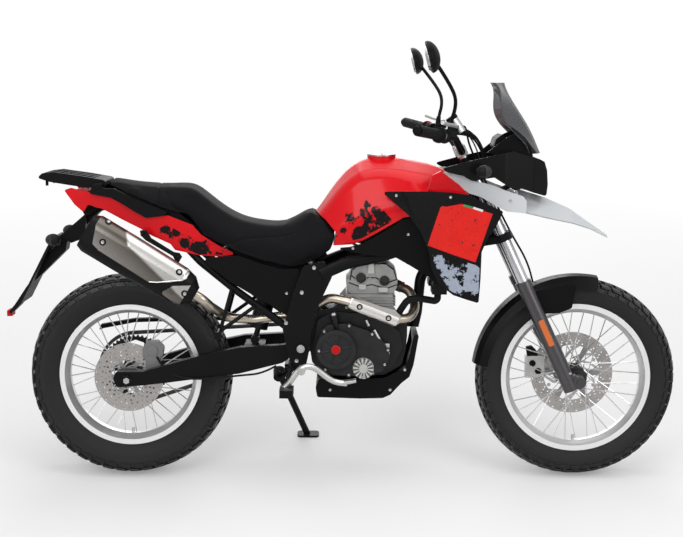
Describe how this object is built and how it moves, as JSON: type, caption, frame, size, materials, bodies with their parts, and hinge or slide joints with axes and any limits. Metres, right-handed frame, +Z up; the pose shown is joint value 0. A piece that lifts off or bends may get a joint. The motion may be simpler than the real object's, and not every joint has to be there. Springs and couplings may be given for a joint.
{
  "type": "dual sport motorcycle",
  "caption": "Upright dual sport motorcycle with spoked wheels, raked fork, high front blade, red tank, long black seat, side exhaust and a folding side stand.",
  "frame": {"origin": "middle of the machine's outline on the ground, as it leans on its side stand", "axes": "+X forward, +Y to the rider's left, the side it leans to, +Z up from the ground"},
  "size_m": [2.1479, 1.0036, 1.4481],
  "materials": {
    "red_paint": "gloss",
    "black_paint": "satin",
    "black_plastic": "fine grain",
    "red_plastic": "gloss",
    "silver_plastic": "metallic gloss",
    "seat_cover": "grained vinyl",
    "tyre_rubber": "rubber",
    "black_rubber": "rubber",
    "silver_alloy": "satin",
    "dark_alloy": "satin anodised",
    "black_casting": "painted casting",
    "steel": "brushed",
    "chrome": "polished",
    "smoked_screen": "smoked",
    "clear_lens": "clear",
    "red_lens": "lens",
    "orange_lens": "lens"
  },
  "bodies": {
    "frame": {"frame": "black_paint", "subframe": "black_paint", "swingarm": "black_paint", "crankcase": "black_casting", "cylinder_head": "silver_alloy", "engine_covers": "dark_alloy", "radiator": "dark_alloy", "coolant_hose": "black_rubber", "exhaust_header": "steel", "exhaust_shields": "steel", "muffler": "black_paint", "skid_plate": "black_plastic", "fuel_tank": "red_paint", "seat": "seat_cover", "side_covers": "black_plastic", "shrouds": "black_plastic", "tail_fairing": "red_plastic", "tail_lamp": "red_lens", "luggage_rack": "black_paint", "plate_holder": "black_plastic", "indicators": "orange_lens", "front_cowl": "black_plastic", "headlamp": "clear_lens", "windscreen": "smoked_screen", "beak": "silver_plastic", "dashboard": "black_plastic", "footpegs": "black_paint", "foot_controls": "silver_alloy", "shock_absorber": "black_paint", "rear_caliper": "silver_alloy", "chain": "steel", "chain_guard": "black_plastic"},
    "steering": {"fork_stanchions": "chrome", "fork_lowers": "dark_alloy", "triple_clamps": "dark_alloy", "handlebar": "black_paint", "grips": "black_rubber", "hand_controls": "black_plastic", "mirrors": "black_plastic", "front_fender": "black_plastic", "front_caliper": "silver_alloy"},
    "front_wheel": {"front_tyre": "tyre_rubber", "front_rim": "silver_alloy", "front_hub": "silver_alloy", "front_disc": "steel"},
    "rear_wheel": {"rear_tyre": "tyre_rubber", "rear_rim": "silver_alloy", "rear_hub": "silver_alloy", "rear_disc": "steel", "rear_sprocket": "dark_alloy"},
    "side_stand": {"side_stand": "black_paint"},
    "fuel_cap": {"fuel_cap": "silver_alloy"}
  },
  "joints": [
    {"name": "steering", "type": "hinge", "parent": "frame", "child": "steering", "pos_m": [0.42712, -0.08063, 0.84817], "axis": [-0.4226, 0.1574, 0.8925], "range_deg": [-38, 38]},
    {"name": "front_wheel_spin", "type": "hinge", "parent": "steering", "child": "front_wheel", "pos_m": [0.75198, -0.17407, 0.31822], "axis": [0, 0.9848, -0.1736], "continuous": true},
    {"name": "rear_wheel_spin", "type": "hinge", "parent": "frame", "child": "rear_wheel", "pos_m": [-0.67788, -0.17335, 0.32228], "axis": [0, 0.9848, -0.1736], "continuous": true},
    {"name": "side_stand_swing", "type": "hinge", "parent": "frame", "child": "side_stand", "pos_m": [-0.20788, -0.05181, 0.27445], "axis": [-0.0543, 0.9283, 0.3678], "range_deg": [0, 96]},
    {"name": "fuel_cap_lid", "type": "hinge", "parent": "frame", "child": "fuel_cap", "pos_m": [0.07412, -0.05058, 1.01854], "axis": [0, -0.9848, 0.1736], "range_deg": [0, 95]}
  ]
}
